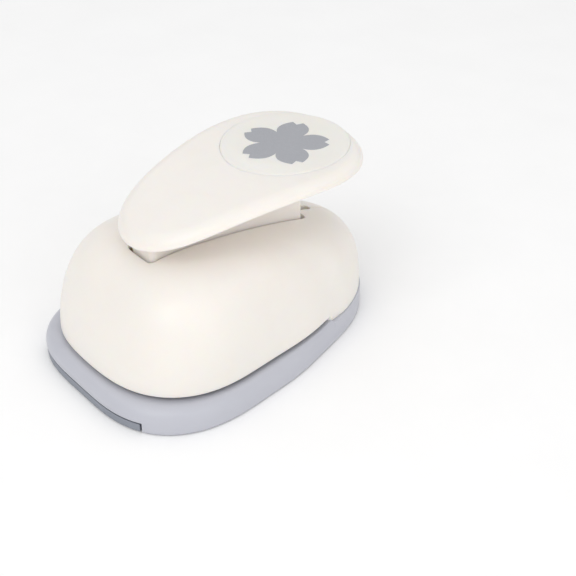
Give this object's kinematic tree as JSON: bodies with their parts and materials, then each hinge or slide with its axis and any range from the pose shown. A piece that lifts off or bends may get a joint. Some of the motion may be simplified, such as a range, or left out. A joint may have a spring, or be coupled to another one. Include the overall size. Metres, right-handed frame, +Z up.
{
  "type": "craft punch",
  "caption": "Lever paper punch with a domed ivory body on a grey base, a wide press lever and a sprung flower-shaped punch head over a steel die.",
  "frame": {"origin": "on the table, under the middle of the body's bounding box", "axes": "+Z up, +Y from the paper side towards the wide end of the lever, X across the body, which is symmetric about X = 0 apart from the printed flower's small turn and the hinge pin's clip"},
  "size_m": [0.111, 0.1506, 0.0869],
  "materials": {
    "dome_shell": "satin moulded ivory plastic",
    "lever_shell": "satin moulded ivory plastic",
    "lever_disc": "fine-textured ivory plastic disc",
    "emblem_print": "grey printed film",
    "base_grey": "satin moulded lavender-grey plastic",
    "cover_slate": "textured slate plastic",
    "tool_steel": "ground tool steel",
    "plate_steel": "cold-rolled plate",
    "zinc": "zinc-plated pressed metal",
    "spring_steel": "bright spring wire",
    "nylon": "natural nylon",
    "rubber": "black moulded rubber",
    "fastener_steel": "bright zinc-plated steel"
  },
  "bodies": {
    "punch_body": {"dome_cover": "dome_shell", "base_frame": "base_grey", "bottom_cover": "cover_slate", "die_plate": "tool_steel", "upper_plate": "plate_steel", "rear_spacer": "plate_steel", "pivot_bracket": "zinc", "pivot_pin": "fastener_steel", "pivot_clip": "spring_steel", "pivot_bush_left": "nylon", "pivot_bush_right": "nylon", "guide_post_left": "fastener_steel", "guide_post_right": "fastener_steel", "return_spring_left": "spring_steel", "return_spring_right": "spring_steel", "down_stop": "rubber", "frame_screw_left": "fastener_steel", "frame_screw_right": "fastener_steel", "dome_screw_left": "fastener_steel", "dome_screw_right": "fastener_steel", "bracket_screw_1": "fastener_steel", "bracket_screw_2": "fastener_steel", "bracket_screw_3": "fastener_steel", "die_screw_1": "fastener_steel", "die_screw_2": "fastener_steel", "die_screw_3": "fastener_steel", "die_screw_4": "fastener_steel", "bottom_screw_1": "fastener_steel", "bottom_screw_2": "fastener_steel", "bottom_screw_3": "fastener_steel", "bottom_screw_4": "fastener_steel", "foot_1": "rubber", "foot_2": "rubber", "foot_3": "rubber", "foot_4": "rubber"},
    "lever": {"lever_cover": "lever_shell", "lever_frame": "lever_shell", "disc_insert": "lever_disc", "flower_emblem": "emblem_print", "press_roller": "tool_steel", "roller_pin": "fastener_steel", "stop_pin": "fastener_steel", "lever_screw_1": "fastener_steel", "lever_screw_2": "fastener_steel", "lever_screw_3": "fastener_steel", "lever_screw_4": "fastener_steel"},
    "punch_head": {"flower_punch": "tool_steel", "punch_carrier": "zinc", "press_pad": "nylon", "carrier_screw_1": "fastener_steel", "carrier_screw_2": "fastener_steel"}
  },
  "joints": [
    {"name": "lever_press", "type": "hinge", "parent": "punch_body", "child": "lever", "pos_m": [0, -0.033, 0.046], "axis": [-1, 0, 0], "range_deg": [0, 12], "stiffness_Nm_per_rad": 1.5, "springref_deg": -11.46},
    {"name": "head_slide", "type": "slide", "parent": "punch_body", "child": "punch_head", "axis": [0, 0, -1], "range_m": [0, 0.006], "stiffness_N_per_m": 900, "springref_m": -0.004, "deforming": ["return_spring_left", "return_spring_right"]}
  ],
  "couplings": [
    {"joint": "head_slide", "follows": "lever_press", "m_per_rad": 0.02857}
  ]
}
